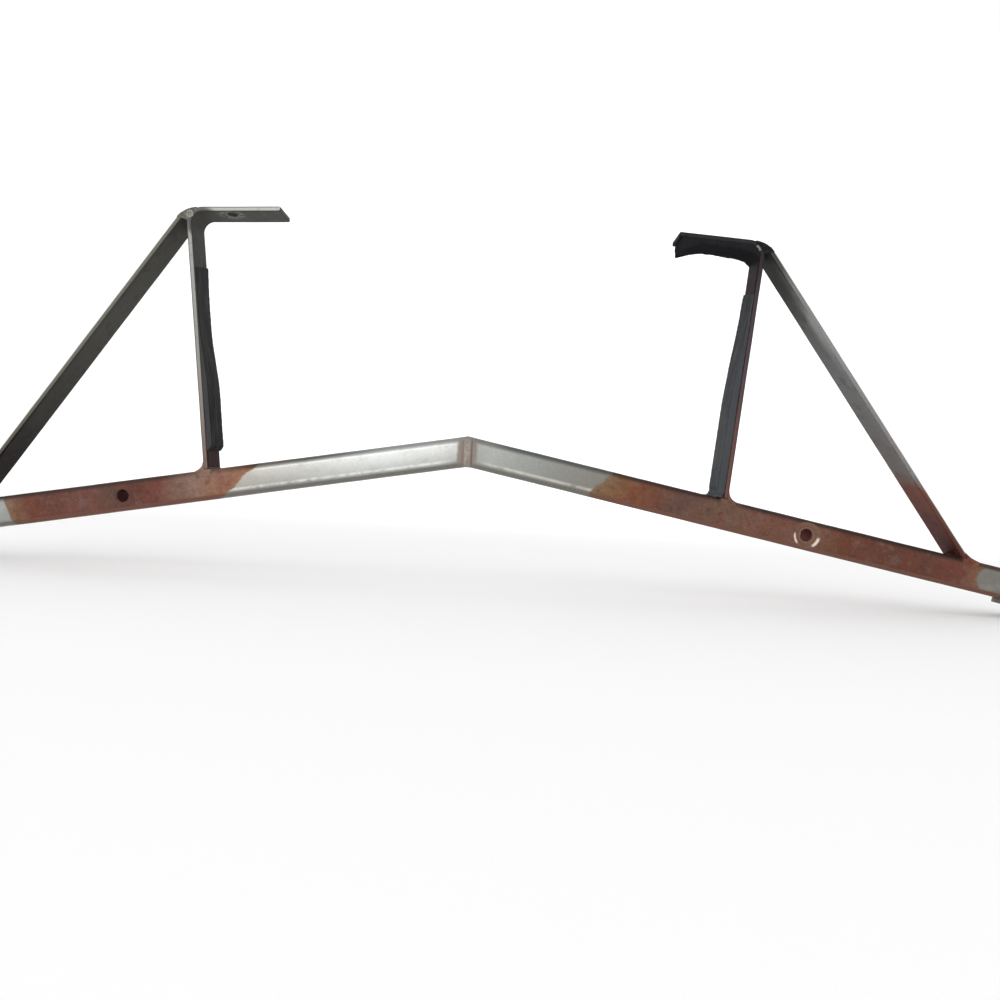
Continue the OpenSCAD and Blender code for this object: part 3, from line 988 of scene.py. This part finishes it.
def tube_hole(shader, side, look, colour, t):
    """The bolt hole's worn lip, its bore and the tube's inside, with two glints on the right dent's rim. The
    bore and the tube's inside are painted lighter, as painted light in the shaded hole.
    """
    span = shader.from_line(side * BOLT_X, 0)
    if side == RIGHT:
        rim = span.step(DENT_R * 0.72, DENT_R * 0.8) * span.step(DENT_R * 0.96, DENT_R * 0.88)
        glint = 0.0
        for x, z in ((-0.96, -0.28), (0.8, -0.6)):
            toward = (shader.dot(shader.position, (x, 0, z)) - BOLT_X * x) / span
            glint = shader.maths("MAXIMUM", glint, toward.step(0.86, 0.97))
        rim = rim * shader.y.step(-13 * MM, -15 * MM) * glint.blend(0.03, 0.9)
        colour = shader.mix(rim, colour, rgb(236, 226, 216))
    lip = span.step(BOLT_R * 1.35, BOLT_R * 1.1) * look["lip_share"]
    colour = shader.mix(lip, colour, look["lip"])
    # The bore's colour is lighter than the rust round it: painted light in the hole's shade.
    colour = shader.mix(span.step(BOLT_R * 1.06, BOLT_R * 1.01), colour, rgb(136, 88, 80))
    inner = TUBE_W / 2 - TUBE_WALL
    inside = shader.maths("MAXIMUM", abs(shader.y), abs(t))
    # The tube's inside is painted much lighter than its rust, as painted light where little light reaches.
    return shader.mix(inside.step(inner + 0.35 * MM, inner + 0.15 * MM), colour, look["inside"])


def tube_material(side):
    """Bright finish from the mitre outwards, then rust, then bare metal at the end.

    s is the distance along the tube from the mitre, and t is the height across it."""
    shader = Shader("tube_steel_" + SIDE_NAMES[side])
    look = TUBE_LOOKS[side]
    s = shader.dot(shader.position, (side * ALONG.x, 0, ALONG.y)) - APEX_Z * ALONG.y
    t = shader.dot(shader.position, (side * SQUARE_UP.x, 0, SQUARE_UP.y)) - APEX_Z * SQUARE_UP.y
    close = shader.ragged(7 * MM, 4, 3.5, 7 * MM)
    ragged = shader.ragged(24 * MM, 5, 3.0, 32 * MM) + close
    cloudy = shader.noise(16 * MM, 6, seed=11.0)
    rusty = (s - look["rust_from"] + ragged - t * look["rust_lean"]).step(-2 * MM, 4 * MM)
    colour = shader.mix(rusty, tube_silver(shader, look, s, t, cloudy), tube_rust(shader, look, s, t, ragged))
    bare = bare_metal(shader, side, look, s, t, close)
    colour = shader.mix(bare, colour, shader.mix(cloudy.step(0.4, 0.65), *look["bare"]))

    across = abs(shader.x)
    heated = (across + close * 0.6).step(14.5 * MM, 9.5 * MM)
    heat = shader.mix(shader.noise(4 * MM, 4, seed=9.0), rgb(122, 108, 100), rgb(166, 154, 146))
    # Painted shade in a line beside the bead, standing in for the shade of a shallow groove.
    groove = abs(across - 5.6 * MM).step(1.8 * MM, 0.4 * MM) * look["groove_shade_share"]
    colour = shader.mix(heated, colour, shader.mix(groove, heat, rgb(82, 74, 66)))

    # Painted highlight: a pale line along the rounded lower shoulder, where the light catches it.
    size, detail = look["highlight_noise"]
    line = abs(t + 10.2 * MM).step(3.2 * MM, 0.2 * MM)
    line = line * shader.noise(size, detail, seed=21.0).step(0.3, 0.6)
    line = line * rusty.blend(look["highlight_share"], 0.0) * s.step(12 * MM, 45 * MM)
    colour = shader.mix(line, colour, look["line"])

    still_rusty = rusty * (1.0 - bare)
    colour = top_and_underside_shade(shader, side, look, colour, s, still_rusty if side == LEFT else rusty)
    colour = inner_corner_shade(shader, side, colour, t)
    colour = tube_hole(shader, side, look, colour, t)
    dull = shader.maths("MAXIMUM", still_rusty, heated)
    smoke = shader.noise(8 * MM, 5, seed=3.3)
    roughness = dull.blend(cloudy.blend(0.30, 0.42), smoke.blend(0.42, 0.6))
    pitted = shader.noise(1.6 * MM, 6, seed=13.0, rough=0.7)
    rolled = shader.noise(14 * MM, 3, seed=17.0)
    bumps = [(rolled, 0.3, 0.5 * MM), (pitted, 0.16, 0.2 * MM)]
    return shader.finish(colour, roughness, dull.blend(0.75, 0.12), bumps)


def bar_material(name, strip_stops, face_stops, outward=(0, 0, 1), rim=None, painted_rim_share=0.0,
                 metal=(0.15, 0.45), sheen=SHEEN, inner=(-0.55, -0.2), patch=None, bore=None, slope=None):
    """Flat bar, with colours along Z on the strip of its front edge and on its wide faces. The faces' darker
    tones are partly their own rust and partly painted shade, since the faces turn away from the light.

    outward points out of its outer face. rim is the painted tone of the rounded edge on that side: a painted
    highlight on the braces and painted shade on the uprights. inner is where the strip begins on the other.
    metal is for the faces and the strip. patch is (centre, reach, tone), and bore is (centre, radius) of a
    hole that is rubbed round its edge and whose wall is painted dark as shade. slope is (low, high, start,
    end): towards the front the faces get lighter, as painted light, by low below start and by high above end."""
    shader = Shader(name)
    height = shader.z + shader.ragged(26 * MM, 5, 2.0, 34 * MM)
    strip = shader.ramp(height, strip_stops)
    # The face colours are partly rust and partly painted shade.
    face = shader.ramp(height, face_stops)
    streak = shader.noise(6 * MM, 6, shader.scaled(1, 1, 0.25), seed=3.0)
    face = shader.patches(face, rgb(122, 120, 112), 0.08, streak, 0.52, 0.7)
    dirt = shader.noise(12 * MM, 6, seed=7.0)
    face = shader.patches(face, rgb(34, 30, 27), 0.35, dirt, 0.52, 0.7)
    if slope:
        # Painted light: the faces get lighter towards the front.
        low, high, start, end = slope
        steep = height.step(start, end).blend(low, high)
        face = shader.tint(face, shader.y.step(0, -TUBE_W / 2) * steep + 0.9)
    rise = shader.dot(shader.normal, outward)
    edge = shader.front.step(0.3, 0.75) * rise.step(*inner)
    chips = shader.noise(3.5 * MM, 4, seed=5.0)
    strip = shader.patches(strip, rgb(84, 76, 70), 0.35, chips, 0.54, 0.68)
    colour = shader.mix(edge, face, strip)
    # The rim tone is painted light on the outer rounded edge: a highlight on the braces, shade on the
    # uprights.
    if rim:
        outer = rise.step(0.03, 0.25) * rise.step(0.95, 0.75)
        colour = shader.mix(outer * shader.front.step(0.05, 0.35) * painted_rim_share, colour, rim)
    fine = shader.noise(1.4 * MM, 5, seed=4.0)
    colour = shader.patches(colour, rgb(48, 42, 38), 0.25, fine, 0.56, 0.72)
    if patch:
        centre, reach, tone = patch
        colour = shader.mix(shader.from_line(*centre).step(reach, reach * 0.7) * 0.85, colour, tone)
    if bore:
        centre, radius = bore
        span = shader.distance(shader.position, centre)
        smear = shader.noise(5 * MM, 5, seed=9.0)
        rubbed = span.step(radius * 3.2, radius * 1.6) * smear.step(0.42, 0.56)
        colour = shader.mix(rubbed * shader.front.step(0.5, 0.2) * 0.75, colour, rgb(132, 131, 123))
        # The hole's wall is painted dark as shade.
        wall = abs(shader.dot(shader.normal, (0, 0, 1))).step(0.8, 0.5)
        colour = shader.mix(span.step(radius * 1.35, radius * 1.2) * wall, colour, rgb(70, 69, 65))
    bumps = [(dirt, 0.3, 0.4 * MM), (fine, 0.16, 0.2 * MM)]
    return shader.finish(colour, fine.blend(0.4, 0.58), edge.blend(*metal), bumps, sheen)


def outward_from_brace(side):
    out = -brace_in(side)
    return (side * out.x, 0, out.y)


def left_bar_material():
    strip = [(0.00, 118, 88, 75), (0.045, 122, 103, 95), (0.09, 132, 120, 114),
             (0.16, 146, 142, 138), (0.24, 152, 152, 148), (0.33, 168, 168, 164),
             (0.37, 190, 190, 185)]
    face = [(0.00, 42, 12, 8), (0.06, 44, 15, 10), (0.10, 48, 40, 37), (0.20, 54, 53, 50),
            (0.30, 56, 56, 53), (0.345, 60, 60, 56), (0.37, 78, 78, 74)]
    middle = bend_centre(LEFT)
    # The rim tone is painted shade on the outer rounded edge, and the hole's wall is painted dark as shade.
    return bar_material("left_bar_steel", strip, face, (-0.7, 0, 0.7), rgb(76, 76, 72), 0.85,
                        metal=(0.0, 0.45), sheen=0.04,
                        patch=((-middle.x, middle.y), 23 * MM, rgb(64, 63, 59)),
                        bore=(ARM_HOLE["pos_m"], ARM_HOLE["dims"]["r_mm"] * MM))


def right_bar_material():
    strip = [(0.00, 112, 80, 67), (0.04, 112, 80, 70), (0.12, 106, 78, 73), (0.17, 92, 76, 78),
             (0.30, 72, 64, 70), (0.335, 56, 51, 55), (0.37, 52, 50, 53)]
    face = [(0.00, 36, 26, 24), (0.10, 40, 32, 33), (0.25, 36, 22, 24), (0.31, 40, 19, 21),
            (0.345, 30, 28, 30), (0.37, 30, 29, 31)]
    # The patch is a painted highlight, a glint on the bend's inner edge, and the rim tone is painted shade on
    # the outer rounded edge.
    out = (post_dir(RIGHT) - post_in(RIGHT)).normalized()
    rubbed = bend_centre(RIGHT) + out * (BEND_R + 1.5 * MM)
    return bar_material("right_bar_steel", strip, face, (0.7, 0, 0.7), rgb(50, 42, 44), 0.6,
                        metal=(0.0, 0.3), sheen=0.02, patch=(rubbed, 4.5 * MM, rgb(140, 136, 138)))


def left_brace_material():
    strip = [(0.00, 48, 36, 32), (0.06, 98, 94, 86), (0.14, 110, 109, 101),
             (0.36, 112, 112, 105)]
    face = [(0.00, 20, 14, 13), (0.05, 28, 20, 18), (0.10, 52, 49, 44), (0.22, 70, 69, 64),
            (0.30, 68, 67, 62), (0.345, 70, 67, 62)]
    # The rim tone is a painted highlight along the outer rounded edge.
    return bar_material("left_brace_steel", strip, face, outward_from_brace(LEFT), rgb(184, 184, 176), 0.9)


def right_brace_material():
    # The faces are painted dark near the top and lighter lower down, as painted shade and reflection on the
    # inner face; the brown near the foot is rust. The rim tone is a painted highlight, and slope lightens the
    # faces towards the front as painted light.
    strip = [(0.00, 94, 60, 52), (0.064, 112, 76, 66), (0.085, 134, 130, 127),
             (0.24, 142, 143, 143), (0.30, 130, 130, 129), (0.33, 86, 85, 84), (0.36, 50, 48, 47)]
    face = [(0.00, 94, 48, 41), (0.069, 120, 70, 58), (0.085, 114, 108, 105),
            (0.20, 116, 117, 116), (0.265, 94, 95, 93), (0.30, 48, 46, 44), (0.34, 20, 18, 17)]
    return bar_material("right_brace_steel", strip, face, outward_from_brace(RIGHT), rgb(190, 188, 185), 0.6,
                        inner=(-1.0, -0.6), slope=(0.15, 2.3, 0.20, 0.28))


def weld_material(name, low, high, dab=None):
    """Weld metal. dab is the x and z of a brighter round dab, seen from the front."""
    shader = Shader(name)
    mottle = shader.noise(5 * MM, 6, seed=1.0)
    fine = shader.noise(1.1 * MM, 5, seed=2.0)
    colour = shader.mix(mottle.step(0.36, 0.64), low, high)
    colour = shader.patches(colour, rgb(48, 38, 34), 0.4, fine, 0.56, 0.72)
    if dab:
        span = shader.from_line(*dab) + shader.ragged(3 * MM, 3, 5.0, 5 * MM)
        ring = abs(span - 3.4 * MM).step(1.5 * MM, 0.5 * MM)
        core = span.step(1.3 * MM, 0.6 * MM)
        colour = shader.mix(shader.maths("MAXIMUM", ring, core) * 0.7, colour, rgb(172, 172, 166))
    bumps = [(mottle, 0.3, 0.4 * MM), (fine, 0.2, 0.2 * MM)]
    return shader.finish(colour, fine.blend(0.4, 0.62), 0.3, bumps)


def rubber_material(name, body_stops, bloom, amount, front_light_tone=None, sheen=SHEEN):
    """Old rubber: a dark body along Z, a pale streaky bloom, and a lighter tone for its front edge, painted
    light on the side that faces the light.
    """
    shader = Shader(name)
    streak = shader.noise(6 * MM, 6, shader.scaled(1, 1, 0.18), seed=1.0)
    cloud = shader.noise(22 * MM, 4, seed=2.0)
    cover = streak.step(0.42, 0.66) * cloud.step(0.3, 0.7)
    colour = shader.mix(cover * amount, shader.ramp(shader.z, body_stops), bloom)
    # Painted light: the front edge lighter than the sides.
    if front_light_tone:
        front = shader.front.step(0.3, 0.75)
        colour = shader.mix(front * streak.blend(0.5, 1.0), colour, front_light_tone)
    fine = shader.noise(1.3 * MM, 5, seed=3.0)
    colour = shader.patches(colour, rgb(18, 18, 19), 0.35, fine, 0.56, 0.72)
    bumps = [(streak, 0.4, 0.5 * MM), (fine, 0.25, 0.25 * MM)]
    return shader.finish(colour, streak.blend(0.48, 0.78), 0.0, bumps, sheen)


# ------------ putting it together


def show(piece, node, material):
    """Puts a finished piece in the place of its CAD node."""
    piece.data.materials.clear()
    piece.data.materials.append(material)
    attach(piece, "root")
    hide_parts(node)


apex_metal = weld_material("apex_weld_steel", rgb(147, 137, 129), rgb(165, 155, 147))
bar_metal = {LEFT: left_bar_material(), RIGHT: right_bar_material()}
brace_metal = {LEFT: left_brace_material(), RIGHT: right_brace_material()}
dab = dab_centre(LEFT)
corner_metal = {LEFT: weld_material("left_corner_weld_steel", rgb(88, 87, 80), rgb(122, 121, 113),
                                    (-dab.x, dab.y)),
                RIGHT: weld_material("right_corner_weld_steel", rgb(26, 25, 26), rgb(44, 43, 44))}
tab_weld_metal = weld_material("tab_weld_steel", rgb(62, 44, 38), rgb(98, 68, 58))
tab_metal = bar_material("tab_steel", [(-0.1, 150, 150, 146), (0.0, 176, 176, 172)],
                         [(-0.1, 120, 120, 116), (0.0, 140, 140, 136)])
end_metal = bar_material("end_plate_steel", [(-0.1, 120, 122, 118), (0.0, 140, 142, 138)],
                         [(-0.1, 110, 112, 108), (0.0, 128, 130, 126)])
left_body = [(0.05, 10, 10, 11), (0.12, 14, 15, 16), (0.20, 26, 27, 28), (0.29, 30, 30, 31)]
right_body = [(0.03, 52, 53, 54), (0.09, 64, 66, 69), (0.15, 52, 54, 57), (0.23, 40, 41, 43),
              (0.30, 30, 30, 32)]
# The last tone of each pad is painted light on its front edge.
pad_rubber = {LEFT: rubber_material("left_pad_rubber", left_body, rgb(44, 46, 48), 0.4, rgb(76, 76, 78)),
              RIGHT: rubber_material("right_pad_rubber", right_body, rgb(82, 85, 89), 0.5, rgb(75, 78, 82))}
arm_pad_rubber = rubber_material("arm_pad_rubber", [(0.30, 36, 35, 37), (0.37, 38, 37, 39)],
                                 rgb(52, 52, 54), 0.3, sheen=0.0)

show(make_apex_bead(), "apex_weld_bead", apex_metal)
for side in (LEFT, RIGHT):
    word = SIDE_NAMES[side]
    tube_metal = tube_material(side)
    show(make_tube(side), "crossbar_" + word, tube_metal)
    show(make_upright(side), word + "_upright", bar_metal[side])
    show(make_brace(side), word + "_brace", brace_metal[side])
    show(make_corner_weld(side), word + "_corner_weld", corner_metal[side])
    show(make_upright_foot_weld(side), word + "_upright_foot_weld", tube_metal)
    show(make_brace_foot_weld(side), word + "_brace_foot_weld", tube_metal)
    show(make_upright_pad(side, **PADS[side]), word + "_upright_pad", pad_rubber[side])
    show(make_tab(side), word + "_mounting_tab", tab_metal)
    show(make_tab_weld(side), word + "_tab_weld", tab_weld_metal)
    show(make_end_plate(side), word + "_end_plate", end_metal)
show(make_arm_pad(), "right_arm_pad", arm_pad_rubber)

# ------------ studio


def make_backdrop(floor_z):
    """A pale floor that curves up into a wall far behind."""
    back, bend, top = 5.0, 2.0, 6.0
    angles = [pi / 2 * i / 24 for i in range(1, 25)]
    profile = [(-9.0, 0.0), (back, 0.0)]
    profile += [(back + bend * sin(a), bend * (1 - cos(a))) for a in angles]
    profile.append((back + bend, top))
    verts = [(x, y, floor_z + z) for x in (-12, 12) for y, z in profile]
    n = len(profile)
    faces = [(i, i + 1, n + i + 1, n + i) for i in range(n - 1)]
    backdrop = add_mesh("backdrop", verts, faces)
    shader = Shader("pale_floor")
    backdrop.data.materials.append(shader.finish((0.94, 0.94, 0.94, 1), 0.9, 0.0, []))


def add_light(name, place_at, target, size, power):
    light = bpy.data.lights.new(name, "AREA")
    light.shape = "RECTANGLE"
    light.size, light.size_y = size
    light.energy = power
    lamp = bpy.data.objects.new(name, light)
    lamp.location = place_at
    lamp.rotation_euler = (Vector(target) - Vector(place_at)).to_track_quat("-Z", "Y").to_euler()
    bpy.context.scene.collection.objects.link(lamp)


def add_camera():
    camera = bpy.data.cameras.new("camera")
    camera.lens = 24.07
    camera.sensor_width = 36
    camera.clip_start = 0.01
    holder = bpy.data.objects.new("camera", camera)
    yaw, pitch, roll = radians(0.29), radians(-2.04), radians(3.28)
    level = Matrix.Rotation(yaw, 4, "Z") @ Matrix.Rotation(pi / 2 + pitch, 4, "X")
    stand = Matrix.Translation((0.0489, -0.8585, 0.0520))
    holder.matrix_world = stand @ level @ Matrix.Rotation(roll, 4, "Z")
    bpy.context.scene.collection.objects.link(holder)
    bpy.context.scene.camera = holder


make_backdrop(cad_box[0][2])
world = bpy.data.worlds.new("studio")
world.use_nodes = True
world.node_tree.nodes["Background"].inputs["Color"].default_value = (1, 1, 1, 1)
world.node_tree.nodes["Background"].inputs["Strength"].default_value = 0.95
bpy.context.scene.world = world
bpy.context.scene.view_settings.view_transform = "Standard"
add_light("key", (-1.0, -3.0, 0.7), (0, 0, 0.1), (2.4, 1.0), 20)
add_light("fill", (2.0, -2.6, 0.9), (0, 0, 0.1), (1.8, 1.8), 6)
add_light("wall", (0, 2.2, 3.5), (0, 6.8, 1.5), (6, 2), 160)
add_camera()
